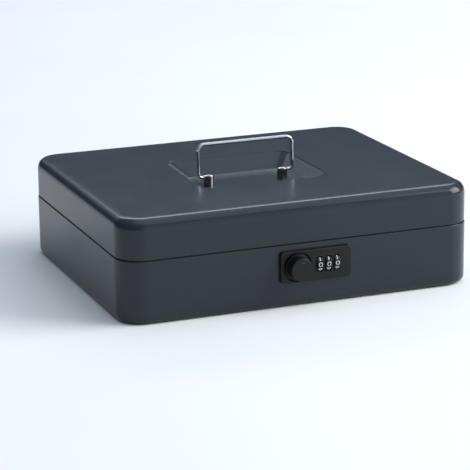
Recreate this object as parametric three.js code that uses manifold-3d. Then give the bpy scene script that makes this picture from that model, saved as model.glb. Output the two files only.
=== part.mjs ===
// Steel cash box with a lift-out coin tray, a folding wire handle in a dished lid and a
// three-dial combination lock. Units are millimetres, +Z is up. The origin is the centre of
// the underside; -Y is the lock side, +Y the hinge side, +X the right-hand end seen from the front.
import * as THREE from "three";
import { mergeVertices } from "three/addons/utils/BufferGeometryUtils.js";
import Module from "manifold-3d";

const wasm = await Module();
wasm.setup();

// ---------------------------------------------------------------- driving dimensions
const BOX_W = 305; // outside width, X
const BOX_D = 250; // outside depth, Y
const BOX_H = 85; // height of the closed box without its handle, Z
const SHEET = 1.0; // steel sheet thickness
const FIT = 0.05; // gap between parts that sit against each other
const RUNNING = 0.08; // radial clearance of a shaft in its bore
const CORNER_R = 22.5; // radius of the four upright corners
const TOP_R = 9; // radius of the lid's top edge
const BOTTOM_R = 5.5; // radius of the base's bottom edge
const SHOULDER_Z = 51.8; // step that the lid closes down to
const LID_EDGE_Z = 52.6; // lower edge of the lid
const LID_INSET = 0.4; // the lid is this much smaller than the base on each side
const LIP_INSET = 2.0; // outer face of the base's upstanding lip
const LIP_TOP_Z = 58;
const LEDGE_TOP_Z = 47.5; // ledges that carry the tray

const DISH_TOP = { x: 57, y: 50.5, r: 12 }; // half sizes of the handle dish at the lid's top face
const DISH_FLOOR = { x: 43, y: 30, r: 9 }; // half sizes of its floor
const DISH_FLOOR_Z = 74;

const HINGE_Y = 127.7; // hinge axis
const HINGE_Z = 52.2;
const HINGES = { left: -85, right: 85 }; // centre of each hinge, X
const HINGE_HALF = 25; // half the length of a hinge
const LEAF_T = 1.2;
const KNUCKLE_R = 2.6;
const KNUCKLE_LEN = 12; // length of each outer knuckle
const HINGE_PIN_R = 1.2;

const POST_X = 33.5; // handle posts, left and right of centre
const POST_R = 4.3;
const POST_TOP_Z = 83.3;
const PIVOT_Z = 81.1; // handle pivot
const WIRE_R = 1.5;
const WIRE_END_X = 31.2; // ends of the wire, inside the posts
const LEG_X = 42.5; // handle legs
const HANDLE_RISE = 28.4; // pivot to the bar's axis

// The lock's own frame has its origin at its centre on the base's front face.
const LOCK = { x: 9.4, y: -BOX_D / 2, z: 33.9 };
const BEZEL = { w: 61, h: 26, t: 3.5, bevel: 1.0 };
const BODY = { x0: -23.2, x1: 24.0, halfZ: 9.5, back: 14.2 }; // part of the lock behind the wall
const BODY_GAP = 0.4; // clearance round the body in the wall and the clamp plate
const MOUNT_X = { left: -27, right: 27.1 }; // screws that hold the clamp plate
const COVER_SCREW_X = -6.9;
const COVER_SCREW_Z = { upper: 5.9, lower: -5.9 };
const KNOB_X = -16.2;
const SPINDLE_R = 3.0;
const DIAL_PITCH = 7.4;
const DIAL_X = [0, 1, 2].map((i) => 3.2 + i * DIAL_PITCH);
const DIAL_Y = 2.3; // dial axis, behind the wall's outer face
const DIAL_R = 7.5;
const DIAL_W = 5.4;
const AXLE_R = 1.8;

// ---------------------------------------------------------------- materials
const matt = (look) => new THREE.MeshStandardMaterial({ metalness: 0, ...look });
const metal = (look) => new THREE.MeshStandardMaterial({ metalness: 1, ...look });

const paint = matt({ name: "body_paint", color: 0x3d434e, roughness: 0.42 });
const chrome = metal({ name: "chrome", color: 0xd8dadc, roughness: 0.12 });
const nickel = metal({ name: "post_nickel", color: 0x8d8f93, roughness: 0.2 });
const zinc = metal({ name: "zinc_steel", color: 0xa9abad, roughness: 0.38 });
const spring = metal({ name: "spring_steel", color: 0x8f9296, roughness: 0.3 });
const brass = metal({ name: "code_brass", color: 0xb8955a, roughness: 0.35 });
const lockBlack = matt({ name: "lock_plastic", color: 0x1c1d1e, roughness: 0.5 });
const dialBlack = matt({ name: "dial_plastic", color: 0x121314, roughness: 0.35 });
const trayBlack = matt({ name: "tray_plastic", color: 0x1d1f22, roughness: 0.55 });

// ---------------------------------------------------------------- helpers
const point = (x, y, z) => new THREE.Vector3(x, y, z);
const QUARTER = Math.PI / 2;

// A three.js geometry as a manifold-3d solid, for cutting and joining.
function toSolid(source) {
  const bare = source.clone();
  for (const name of Object.keys(bare.attributes)) {
    if (name !== "position") bare.deleteAttribute(name);
  }
  const merged = mergeVertices(bare, 1e-4);
  return new wasm.Manifold(
    new wasm.Mesh({
      numProp: 3,
      vertProperties: new Float32Array(merged.attributes.position.array),
      triVerts: new Uint32Array(merged.index.array),
    }),
  );
}

// A solid back as a three.js geometry with flat normals.
function toGeometry(solid) {
  const mesh = solid.getMesh();
  const stride = mesh.numProp;
  const position = new Float32Array(mesh.numVert * 3);
  for (let i = 0; i < mesh.numVert; i++) {
    position.set(mesh.vertProperties.subarray(i * stride, i * stride + 3), i * 3);
  }
  const indexed = new THREE.BufferGeometry();
  indexed.setAttribute("position", new THREE.BufferAttribute(position, 3));
  indexed.setIndex(new THREE.BufferAttribute(new Uint32Array(mesh.triVerts), 1));
  const flat = indexed.toNonIndexed();
  flat.computeVertexNormals();
  return flat;
}

const join = (...parts) => toGeometry(parts.map(toSolid).reduce((a, b) => a.add(b)));
const cut = (blank, ...tools) =>
  toGeometry(tools.map(toSolid).reduce((a, b) => a.subtract(b), toSolid(blank)));

// Box from its lowest and highest corners.
const box = (x0, x1, y0, y1, z0, z1) =>
  new THREE.BoxGeometry(x1 - x0, y1 - y0, z1 - z0)
    .translate((x0 + x1) / 2, (y0 + y1) / 2, (z0 + z1) / 2);

// Cylinders along each axis, between two places on it.
const rod = (r, length, sides) => new THREE.CylinderGeometry(r, r, length, sides);
const rodX = (r, y, z, x0, x1, sides = 20) =>
  rod(r, x1 - x0, sides).rotateZ(QUARTER).translate((x0 + x1) / 2, y, z);
const rodY = (r, x, z, y0, y1, sides = 20) =>
  rod(r, y1 - y0, sides).translate(x, (y0 + y1) / 2, z);
const rodZ = (r, x, y, z0, z1, sides = 20) =>
  rod(r, z1 - z0, sides).rotateX(QUARTER).translate(x, y, (z0 + z1) / 2);

// Radius of a 24-sided bore whose flats leave a shaft of radius r a running clearance.
const boreR = (r) => (r + RUNNING) / Math.cos(Math.PI / 24);

// Solid through equal-length rings of points, capped at both ends.
// Rings run counter-clockwise about the direction of travel.
function loft(rings) {
  const count = rings[0].length;
  const positions = rings.flat().flatMap((p) => [p.x, p.y, p.z]);
  const index = [];
  for (let k = 0; k + 1 < rings.length; k++) {
    for (let i = 0; i < count; i++) {
      const a = k * count + i;
      const b = k * count + ((i + 1) % count);
      index.push(a, b, b + count, a, b + count, a + count);
    }
  }
  const cap = (ring, first, flip) => {
    const centre = ring.reduce((sum, p) => sum.add(p), point(0, 0, 0)).divideScalar(count);
    const hub = positions.length / 3;
    positions.push(centre.x, centre.y, centre.z);
    for (let i = 0; i < count; i++) {
      const a = first + i;
      const b = first + ((i + 1) % count);
      index.push(hub, ...(flip ? [b, a] : [a, b]));
    }
  };
  cap(rings[0], 0, true);
  cap(rings.at(-1), (rings.length - 1) * count, false);
  const skin = new THREE.BufferGeometry();
  skin.setAttribute("position", new THREE.Float32BufferAttribute(positions, 3));
  skin.setIndex(index);
  return skin;
}

// Rounded rectangle of points at height z, counter-clockwise from above.
function roundedRing(halfX, halfY, r, z, steps = 7) {
  const ring = [];
  [[1, 1], [-1, 1], [-1, -1], [1, -1]].forEach(([signX, signY], corner) => {
    for (let i = 0; i <= steps; i++) {
      const angle = (corner + i / steps) * QUARTER;
      const x = signX * (halfX - r) + r * Math.cos(angle);
      const y = signY * (halfY - r) + r * Math.sin(angle);
      ring.push(point(x, y, z));
    }
  });
  return ring;
}

// Ring of the box's own outline, moved in by inset.
const outline = (inset, z) =>
  roundedRing(BOX_W / 2 - inset, BOX_D / 2 - inset, Math.max(CORNER_R - inset, 0.5), z);

// Rings of a quarter-round edge, from the flat face at height z out to the wall at inset.
// The wall rises from the face for direction 1 and falls from it for -1.
function edgeRings(inset, z, r, steps, direction) {
  const rings = [];
  for (let i = 0; i <= steps; i++) {
    const angle = (i / steps) * QUARTER;
    const rise = direction * r * (1 - Math.cos(angle));
    rings.push(outline(inset + r * (1 - Math.sin(angle)), z + rise));
  }
  return rings;
}

// Rounded rectangle as a THREE.Shape about a centre.
function roundedShape(width, height, r, centreX = 0, centreY = 0) {
  const x0 = centreX - width / 2;
  const y0 = centreY - height / 2;
  const x1 = x0 + width;
  const y1 = y0 + height;
  const shape = new THREE.Shape();
  shape.moveTo(x0 + r, y0);
  shape.lineTo(x1 - r, y0);
  shape.absarc(x1 - r, y0 + r, r, -QUARTER, 0, false);
  shape.lineTo(x1, y1 - r);
  shape.absarc(x1 - r, y1 - r, r, 0, QUARTER, false);
  shape.lineTo(x0 + r, y1);
  shape.absarc(x0 + r, y1 - r, r, QUARTER, Math.PI, false);
  shape.lineTo(x0, y0 + r);
  shape.absarc(x0 + r, y0 + r, r, Math.PI, 3 * QUARTER, false);
  return shape;
}
const polygon = (points) => new THREE.Shape(points.map(([a, b]) => new THREE.Vector2(a, b)));

// Plates: a shape in the two named axes, made solid along the third.
const YZ_FRAME = new THREE.Matrix4().makeBasis(point(0, 1, 0), point(0, 0, 1), point(1, 0, 0));
const extrude = (shape, depth, options) =>
  new THREE.ExtrudeGeometry(shape, { depth, bevelEnabled: false, curveSegments: 4, ...options });
const plateXY = (shape, z0, z1, options) => extrude(shape, z1 - z0, options).translate(0, 0, z0);
const plateXZ = (shape, y0, y1, options) =>
  extrude(shape, y1 - y0, options).rotateX(QUARTER).translate(0, y1, 0);
const plateYZ = (shape, x0, x1, options) =>
  extrude(shape, x1 - x0, options).applyMatrix4(YZ_FRAME).translate(x0, 0, 0);

// Turned part: profile of [radius, height] pairs about +Z.
const turned = (profile, sides = 24) =>
  new THREE.LatheGeometry(profile.map(([r, h]) => new THREE.Vector2(r, h)), sides)
    .rotateX(QUARTER);

// Two crossed boxes that cut a screw's recess.
const crossSlot = (reach, half, z0, z1) => [
  box(-reach, reach, -half, half, z0, z1),
  box(-half, half, -reach, reach, z0, z1),
];

function place(parent, object, name, x, y, z) {
  object.name = name;
  object.position.set(x, y, z);
  parent.add(object);
  return object;
}
const piece = (parent, name, shape, material, x = 0, y = 0, z = 0) =>
  place(parent, new THREE.Mesh(shape, material), name, x, y, z);
const group = (parent, name, x = 0, y = 0, z = 0) =>
  place(parent, new THREE.Group(), name, x, y, z);

const cashBox = new THREE.Group();
cashBox.name = "cash_box";

// ---------------------------------------------------------------- base
const base = group(cashBox, "base_group");

// Outside from the floor up to the lip, then back down the inside.
function baseShell() {
  const edgeSteps = 4;
  const holeR = 1.8;
  const body = loft([
    ...edgeRings(0, 0, BOTTOM_R, edgeSteps, 1),
    outline(0, SHOULDER_Z - 0.6),
    outline(0.5, SHOULDER_Z),
    outline(LIP_INSET, SHOULDER_Z),
    outline(LIP_INSET, LIP_TOP_Z),
    outline(LIP_INSET + SHEET, LIP_TOP_Z),
    outline(LIP_INSET + SHEET, SHOULDER_Z - SHEET),
    outline(SHEET + 0.4, SHOULDER_Z - SHEET),
    outline(SHEET, SHOULDER_Z - SHEET - 0.5),
    ...edgeRings(SHEET, SHEET, BOTTOM_R - SHEET, edgeSteps, 1).reverse(),
  ]);
  // Cut-out for the lock body and clearance holes for its two screws.
  return cut(
    body,
    bodyClearance(-2, 2).translate(LOCK.x, LOCK.y, LOCK.z),
    ...Object.values(MOUNT_X).map((x) =>
      rodY(holeR, LOCK.x + x, LOCK.z, LOCK.y - 2, LOCK.y + 2, 12)),
  );
}

// Lock body with its clearance all round, in the lock's frame.
function bodyClearance(y0, y1) {
  const halfZ = BODY.halfZ + BODY_GAP;
  return box(BODY.x0 - BODY_GAP, BODY.x1 + BODY_GAP, y0, y1, -halfZ, halfZ);
}
piece(base, "base_shell", baseShell(), paint);

// Steel angles welded inside the end walls, which the coin tray hangs on.
const LEDGE = { halfLength: 95, centreY: 5 };
// [x, z] of the right-hand angle, from its top corner at the wall.
const LEDGE_PROFILE = [[0, 0], [0, -11.5], [-1, -11.5], [-1, -1], [-8, -1], [-8, 0]];
for (const [side, sign] of [["left", -1], ["right", 1]]) {
  const angle = plateXZ(polygon(LEDGE_PROFILE), -LEDGE.halfLength, LEDGE.halfLength);
  if (sign < 0) angle.rotateZ(Math.PI);
  const x = sign * (BOX_W / 2 - SHEET - FIT);
  piece(base, `tray_ledge_${side}`, angle, paint, x, LEDGE.centreY, LEDGE_TOP_Z);
}

// ---------------------------------------------------------------- lid
const lidPivot = group(cashBox, "lid_pivot", 0, HINGE_Y, HINGE_Z);
const lid = group(lidPivot, "lid_group", 0, -HINGE_Y, -HINGE_Z);

// Inside from the dish down to the lower edge, then up the outside and into the dish.
function lidShell() {
  const edgeSteps = 5;
  const inner = LID_INSET + SHEET;
  const under = 0.2; // the dish's underside is this much larger than its inside, in y and r
  const dishRing = ({ x, y, r }, z) => roundedRing(x, y, r, z);
  const underRing = ({ x, y, r }, growX, z) =>
    roundedRing(x + growX, y + under, r + under, z - SHEET);
  const body = loft([
    underRing(DISH_FLOOR, 0.27, DISH_FLOOR_Z),
    underRing(DISH_TOP, 0.34, BOX_H),
    ...edgeRings(inner, BOX_H - SHEET, TOP_R - SHEET, edgeSteps, -1),
    outline(inner, LID_EDGE_Z),
    outline(LID_INSET, LID_EDGE_Z),
    ...edgeRings(LID_INSET, BOX_H, TOP_R, edgeSteps, -1).reverse(),
    dishRing(DISH_TOP, BOX_H),
    dishRing(DISH_FLOOR, DISH_FLOOR_Z),
  ]);
  const screwHole = (x) => rodZ(2.3, x, 0, DISH_FLOOR_Z - 3, DISH_FLOOR_Z + 2, 16);
  return cut(body, screwHole(-POST_X), screwHole(POST_X));
}
piece(lid, "lid_shell", lidShell(), paint);

// Catch: a bent steel strap from the lid's front wall, with a ledge that the lock's hook
// passes over.
function lidCatch() {
  const x = LOCK.x + KNOB_X;
  const front = -(BOX_D / 2 - LID_INSET - SHEET) + FIT;
  const back = -101.6; // rear face of the hanging strap
  const strapT = 1.5;
  const strapUnder = 60.5;
  const strapTop = strapUnder + strapT;
  const bottom = 41;
  return join(
    box(x - 10, x + 10, front, front + strapT, strapUnder, 75.5),
    box(x - 7, x + 7, front, back, strapUnder, strapTop),
    box(x - 5, x + 5, back - strapT, back, bottom, strapTop),
    box(x - 3, x + 3, -108.2, back, bottom, bottom + 1.4),
  );
}
piece(lid, "lid_catch", lidCatch(), zinc);

// ---------------------------------------------------------------- hinges
const knuckle = (x0, x1) => rodX(KNUCKLE_R, HINGE_Y, HINGE_Z, x0, x1, 16);
const pinBore = (x0, x1) => rodX(boreR(HINGE_PIN_R), HINGE_Y, HINGE_Z, x0 - 1, x1 + 1, 24);

// Fixed leaf: plate on the base's rear face with a knuckle at each end.
function baseLeaf(x0, x1) {
  const y = BOX_D / 2 + FIT;
  const ends = [[x0, x0 + KNUCKLE_LEN], [x1 - KNUCKLE_LEN, x1]];
  const leaf = join(
    box(x0, x1, y, y + LEAF_T, 36.5, 49.2),
    ...ends.map(([a, b]) => box(a, b, y, y + LEAF_T, 48, HINGE_Z)),
    ...ends.map(([a, b]) => knuckle(a, b)),
  );
  return cut(leaf, pinBore(x0, x1));
}

// Moving leaf: plate on the lid's rear face with one knuckle between the fixed ones.
function lidLeaf(x0, x1) {
  const y = BOX_D / 2 - LID_INSET + FIT;
  const setIn = KNUCKLE_LEN + 0.4;
  const leaf = join(
    box(x0, x1, y, y + LEAF_T, 55.3, 68),
    box(x0 + setIn, x1 - setIn, y, y + LEAF_T, HINGE_Z + 0.1, 56),
    knuckle(x0 + setIn, x1 - setIn),
  );
  return cut(leaf, pinBore(x0, x1));
}

function hingePin() {
  const headR = 1.9;
  const neck = HINGE_HALF + 0.1;
  const end = HINGE_HALF + 0.6;
  const profile = [
    [0, -end], [headR, -end], [headR, -neck], [HINGE_PIN_R, -neck],
    [HINGE_PIN_R, neck], [headR, neck], [headR, end], [0, end],
  ];
  return turned(profile, 16).rotateY(QUARTER);
}

for (const [side, x] of Object.entries(HINGES)) {
  const x0 = x - HINGE_HALF;
  const x1 = x + HINGE_HALF;
  piece(base, `hinge_base_leaf_${side}`, baseLeaf(x0, x1), paint);
  piece(base, `hinge_pin_${side}`, hingePin(), zinc, x, HINGE_Y, HINGE_Z);
  piece(lid, `hinge_lid_leaf_${side}`, lidLeaf(x0, x1), paint);
}

// ---------------------------------------------------------------- handle posts
// Each post stands on the dish floor and is screwed on from inside the lid.
const POST_BOTTOM_Z = DISH_FLOOR_Z + FIT;

// The bore for the wire is blind and open on the outer side.
function handlePost(sign) {
  const height = POST_TOP_Z - POST_BOTTOM_Z;
  const chamfer = 0.4;
  const bore = { blind: 2.9, open: 8 };
  const [x0, x1] = sign < 0 ? [-bore.open, bore.blind] : [-bore.blind, bore.open];
  return cut(
    turned([
      [0, 0], [POST_R, 0], [POST_R, height - chamfer], [POST_R - chamfer, height], [0, height],
    ]),
    rodX(boreR(WIRE_R), 0, PIVOT_Z - POST_BOTTOM_Z, x0, x1, 24),
    rodZ(2.0, 0, 0, -1, 4.6, 16),
  );
}

function postScrew() {
  // [radius, height] from the underside of the dish floor; the head hangs below.
  const profile = [
    [0, -3.4], [3.0, -3.4], [3.8, -2.6], [3.8, -1.2], [1.85, -1.2], [1.85, 5.2], [0, 5.2],
  ];
  return cut(turned(profile, 16), ...crossSlot(2.6, 0.4, -4.5, -2.5));
}

for (const [side, sign] of [["left", -1], ["right", 1]]) {
  const x = sign * POST_X;
  const under = DISH_FLOOR_Z - SHEET;
  const washer = cut(rodZ(5, 0, 0, -1, 0), rodZ(2.15, 0, 0, -2, 1, 16));
  piece(lid, `handle_post_${side}`, handlePost(sign), nickel, x, 0, POST_BOTTOM_Z);
  piece(lid, `post_washer_${side}`, washer, zinc, x, 0, under - 0.1);
  piece(lid, `post_screw_${side}`, postScrew(), zinc, x, 0, under);
}

// ---------------------------------------------------------------- handle
// Wire swept from the left post up, across and down to the right post.
function carryHandle() {
  const lower = { r: 3.6, steps: 4 }; // bends at the pivots
  const upper = { r: 5.5, steps: 5 }; // bends at the bar
  const sides = 16;
  // Left half of the path: x, z and the direction of travel in x and z.
  const half = [
    [-WIRE_END_X, 0, -1, 0],
    [-LEG_X + lower.r, 0, -1, 0],
  ];
  for (let i = 1; i <= lower.steps; i++) {
    const angle = (i / lower.steps) * QUARTER;
    const sin = Math.sin(angle);
    const cos = Math.cos(angle);
    half.push([-LEG_X + lower.r * (1 - sin), lower.r * (1 - cos), -cos, sin]);
  }
  const bendZ = HANDLE_RISE - upper.r;
  half.push([-LEG_X, bendZ, 0, 1]);
  for (let i = 1; i <= upper.steps; i++) {
    const angle = (i / upper.steps) * QUARTER;
    const sin = Math.sin(angle);
    const cos = Math.cos(angle);
    half.push([-LEG_X + upper.r * (1 - cos), bendZ + upper.r * sin, sin, cos]);
  }
  const mirrored = half.map(([x, z, alongX, alongZ]) => [-x, z, alongX, -alongZ]).reverse();
  // One axis of the wire's section is Y, the other lies in the handle's plane, square to the path.
  const rings = [...half, ...mirrored].map(([x, z, alongX, alongZ]) =>
    Array.from({ length: sides }, (_, i) => {
      const angle = (i / sides) * 2 * Math.PI;
      const across = WIRE_R * Math.sin(angle);
      return point(x - alongZ * across, WIRE_R * Math.cos(angle), z + alongX * across);
    }),
  );
  return loft(rings);
}
const handlePivot = group(lid, "handle_pivot", 0, 0, PIVOT_Z);
piece(handlePivot, "carry_handle", carryHandle(), chrome);

// ---------------------------------------------------------------- lock housing
const lock = group(base, "lock_group", LOCK.x, LOCK.y, LOCK.z);
const CLAMP = { front: SHEET + FIT, back: SHEET + FIT + 1.2 };
const COVER = { front: BODY.back + FIT, back: BODY.back + FIT + 1.5 };
const mountHoles = (r, y0, y1) => Object.values(MOUNT_X).map((x) => rodY(r, x, 0, y0, y1, 12));
const coverHoles = (r, y0, y1) =>
  Object.values(COVER_SCREW_Z).map((z) => rodY(r, COVER_SCREW_X, z, y0, y1, 12));

// A rounded bezel outside the wall and a body behind it.
function lockHousing() {
  const { w, h, t, bevel } = BEZEL;
  const face = roundedShape(w - 2 * bevel, h - 2 * bevel, 1.6);
  const bevelled = plateXZ(face, bevel - t, bevel, {
    bevelEnabled: true,
    bevelThickness: bevel,
    bevelSize: bevel,
    bevelSegments: 3,
  });
  const bezel = cut(bevelled, box(-40, 40, -FIT, 12, -20, 20)); // flat back at the wall
  const body = box(BODY.x0, BODY.x1, -0.6, BODY.back, -BODY.halfZ, BODY.halfZ);
  const axleHoleR = 1.95;
  return cut(
    join(bezel, body),
    box(-3.0, 22.5, -1.9, 15, -8, 8), // dial chamber
    ...DIAL_X.map((x) => plateXZ(roundedShape(6.0, 13.0, 1.4, x, 0), -5, -1)), // dial windows
    rodY(boreR(SPINDLE_R), KNOB_X, 0, -6, 16, 24),
    rodY(11.3, KNOB_X, 0, -6, -t + 0.5, 32), // knob recess
    rodX(axleHoleR, DIAL_Y, 0, -5.4, -2, 16),
    rodX(axleHoleR, DIAL_Y, 0, 20, 26, 16),
    ...mountHoles(1.6, -2.5, 2),
    ...coverHoles(1.3, 9, 16),
  );
}
piece(lock, "lock_housing", lockHousing(), lockBlack);

const clampPlate = cut(
  plateXZ(roundedShape(61.6, 25, 2), CLAMP.front, CLAMP.back),
  bodyClearance(0, 4),
  ...mountHoles(1.7, 0, 4),
);
piece(lock, "lock_clamp_plate", clampPlate, zinc);

const backCover = cut(
  plateXZ(
    roundedShape(BODY.x1 - BODY.x0, 2 * BODY.halfZ, 1.2, (BODY.x0 + BODY.x1) / 2, 0),
    COVER.front,
    COVER.back,
  ),
  rodY(3.4, KNOB_X, 0, 10, 20),
  box(3.6, 14.6, 10, 20, 4.8, 7.4), // slot for the code change lever
  ...coverHoles(1.4, 10, 20),
);
piece(lock, "lock_back_cover", backCover, zinc);

// Pan-head screw with its head towards +Y.
function panScrew({ headR, headH, shankR, shankL }) {
  const profile = [
    [0, -shankL], [shankR, -shankL], [shankR, 0], [headR, 0],
    [headR, headH * 0.6], [headR * 0.75, headH], [0, headH],
  ];
  const slots = crossSlot(headR * 0.6, 0.3, headH - 0.7, headH + 1);
  return cut(turned(profile, 16), ...slots).rotateX(-QUARTER);
}
for (const [side, x] of Object.entries(MOUNT_X)) {
  const screw = panScrew({ headR: 2.9, headH: 2.0, shankR: 1.4, shankL: 4.4 });
  piece(lock, `lock_screw_${side}`, screw, zinc, x, CLAMP.back + FIT, 0);
}
for (const [level, z] of Object.entries(COVER_SCREW_Z)) {
  const screw = panScrew({ headR: 2.1, headH: 1.3, shankR: 1.1, shankL: 6 });
  piece(lock, `cover_screw_${level}`, screw, zinc, COVER_SCREW_X, COVER.back + FIT, z);
}

// ---------------------------------------------------------------- dials
piece(lock, "dial_axle", rodX(AXLE_R, 0, 0, -5.2, 23.8, 16), zinc, 0, DIAL_Y, 0);

function dial() {
  const half = DIAL_W / 2;
  const boreRadius = 4.1;
  const sideR = DIAL_R - 0.4;
  const rim = half - 0.4;
  const profile = [
    [boreRadius, -half], [sideR, -half], [DIAL_R, -rim], [DIAL_R, rim],
    [sideR, half], [boreRadius, half], [boreRadius, -half],
  ];
  return turned(profile, 30).rotateY(QUARTER);
}

// Sleeve inside a dial, with the flat on its +Y side that the lock's bolt reads.
function codeSleeve() {
  const inner = boreR(AXLE_R);
  const outer = 3.9;
  const half = 2.5;
  const profile = [[inner, -half], [outer, -half], [outer, half], [inner, half], [inner, -half]];
  return cut(turned(profile).rotateY(QUARTER), box(-3, 3, 3.3, 5, -3, 3));
}

DIAL_X.forEach((x, i) => {
  const dialPivot = group(lock, `dial_${i + 1}_pivot`, x, DIAL_Y, 0);
  piece(dialPivot, `dial_${i + 1}`, dial(), dialBlack);
  piece(dialPivot, `code_sleeve_${i + 1}`, codeSleeve(), brass);
});

// Coil spring that pushes the sleeves together along the axle.
function sleeveSpring() {
  const turns = 2.5;
  const steps = 30;
  const sides = 6;
  const coilR = 2.75;
  const wireR = 0.3;
  const startX = -2.5;
  const length = 2.2;
  const rings = [];
  for (let k = 0; k <= steps; k++) {
    const angle = (k / steps) * turns * 2 * Math.PI;
    const ring = [];
    for (let i = 0; i < sides; i++) {
      const around = (i / sides) * 2 * Math.PI;
      const r = coilR + wireR * Math.cos(around);
      const x = startX + (k / steps) * length - wireR * Math.sin(around);
      ring.push(point(x, r * Math.cos(angle), r * Math.sin(angle)));
    }
    rings.push(ring);
  }
  return loft(rings);
}
piece(lock, "sleeve_spring", sleeveSpring(), spring, 0, DIAL_Y, 0);

// Leaf spring with one finger behind each dial; the profile is [y, z].
const FINGER_PROFILE = [
  [13.7, -7.4], [14.05, -7.4], [14.05, -4.3], [11.0, 1.6],
  [11.6, 3.0], [11.25, 3.15], [10.55, 1.6], [13.7, -4.4],
];
const detentSpring = join(
  box(0, 21.2, 13.7, 14.05, -7.4, -4.9),
  ...DIAL_X.map((x) => plateYZ(polygon(FINGER_PROFILE), x - 1.8, x + 1.8)),
);
piece(lock, "dial_detent_spring", detentSpring, spring);

// Slider that frees the dials from their sleeves, so that a new code can be set.
const lever = join(box(2.4, 9.4, 12.4, 13.9, 4.3, 7.6), box(3.9, 7.9, 13.2, 18.4, 5.1, 7.1));
piece(lock, "code_change_lever", lever, lockBlack);

// ---------------------------------------------------------------- knob and hook
const knobPivot = group(lock, "knob_pivot", KNOB_X, 0, 0);

// [radius, height]; height runs out of the face, towards -Y. The first three points are the
// socket for the spindle.
const KNOB_PROFILE = [
  [0, 7.2], [3.15, 7.2], [3.15, 0], [10.1, 0], [10.3, 0.3], [10.3, 1.2],
  [9.9, 1.7], [9.5, 9.1], [9.1, 9.7], [8.3, 10.0], [0, 10.2],
];
const knob = turned(KNOB_PROFILE, 36).rotateX(QUARTER);
piece(knobPivot, "knob", knob, lockBlack, 0, -BEZEL.t + 0.2, 0);

// Round shaft, a square for the hook and a round end for the nut.
const spindle = join(
  rodY(SPINDLE_R, 0, 0, -10.3, 17.6),
  box(-2, 2, 17, 19.4, -2, 2),
  rodY(1.9, 0, 0, 19, 22.6, 16),
);
piece(knobPivot, "knob_spindle", spindle, zinc);
const thrustWasher = cut(rodY(5.5, 0, 0, 16.0, 17.5, 24), rodY(3.2, 0, 0, 15, 19));
piece(knobPivot, "thrust_washer", thrustWasher, zinc);

// A hub, an arm and a ring segment round the spindle, drawn unlocked (segment to the left).
function latchHook() {
  const inner = 10.4;
  const outer = 14.2;
  const hub = 6;
  const tip = 135; // angles in degrees from +X towards +Z
  const rad = THREE.MathUtils.degToRad;
  const polar = (r, angle) => [r * Math.cos(rad(angle)), r * Math.sin(rad(angle))];
  const shape = new THREE.Shape();
  shape.moveTo(...polar(outer, tip));
  shape.absarc(0, 0, outer, rad(tip), rad(232), false);
  shape.lineTo(...polar(hub, 244));
  shape.absarc(0, 0, hub, rad(244), rad(560), false);
  shape.lineTo(...polar(inner, 212));
  shape.absarc(0, 0, inner, rad(212), rad(tip), true);
  shape.lineTo(...polar(outer, tip));
  const squareHole = box(-2.15, 2.15, 10, 25, -2.15, 2.15);
  return cut(plateXZ(shape, 17.8, 19.3, { curveSegments: 10 }), squareHole);
}
piece(knobPivot, "latch_hook", latchHook(), zinc);
const hookNut = cut(rodY(4.0, 0, 0, 19.5, 22.0, 6), rodY(2.05, 0, 0, 18, 24, 16));
piece(knobPivot, "hook_nut", hookNut, zinc);

// ---------------------------------------------------------------- coin tray
const TRAY = { halfX: 142.5, y0: -98, y1: 118, bottom: 20, wall: 1.6 };
const RIM = { halfX: 148.2, growY: 2, r: 17, under: 47.6, top: 49.6 };
const CUPS = { count: 5, back: -46, floor: 22, scoopR: 17 };
const BAYS = { count: 3, under: 23.2, floor: 25, r: 5 };
const OPEN_Z = 55; // top of the tools that hollow the tray

// Tray with its rim, before it is hollowed.
function trayBlank() {
  const halfY = (TRAY.y1 - TRAY.y0) / 2;
  const ring = (inset, r, z) => roundedRing(TRAY.halfX - inset, halfY - inset, r, z, 5);
  const rimRing = (z) => roundedRing(RIM.halfX, halfY + RIM.growY, RIM.r, z, 5);
  return loft([
    ring(3, 9, TRAY.bottom),
    ring(0.8, 11, TRAY.bottom + 2.2),
    ring(0, 12, RIM.under),
    rimRing(RIM.under),
    rimRing(RIM.top),
  ]).translate(0, (TRAY.y0 + TRAY.y1) / 2, 0);
}

// Left and right sides of equal compartments across the tray.
function compartments(count) {
  const left = -TRAY.halfX + TRAY.wall;
  const width = (-2 * left - (count - 1) * TRAY.wall) / count;
  return Array.from({ length: count }, (_, i) => {
    const x0 = left + i * (width + TRAY.wall);
    return [x0, x0 + width];
  });
}

// Hollow of one coin cup, scooped front and back.
function cupTool([x0, x1]) {
  const { back, floor, scoopR } = CUPS;
  const front = TRAY.y0 + TRAY.wall;
  const shape = new THREE.Shape();
  shape.moveTo(front + scoopR, floor);
  shape.lineTo(back - scoopR, floor);
  shape.absarc(back - scoopR, floor + scoopR, scoopR, -QUARTER, 0, false);
  shape.lineTo(back, OPEN_Z);
  shape.lineTo(front, OPEN_Z);
  shape.lineTo(front, floor + scoopR);
  shape.absarc(front + scoopR, floor + scoopR, scoopR, Math.PI, 3 * QUARTER, false);
  return plateYZ(shape, x0, x1, { curveSegments: 6 });
}

// Hollow of one banknote bay, behind the cups.
function bayTool([x0, x1]) {
  const y0 = CUPS.back + TRAY.wall;
  const y1 = TRAY.y1 - TRAY.wall;
  const shape = roundedShape(x1 - x0, y1 - y0, BAYS.r, (x0 + x1) / 2, (y0 + y1) / 2);
  return plateXY(shape, BAYS.floor, OPEN_Z, { curveSegments: 3 });
}

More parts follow.
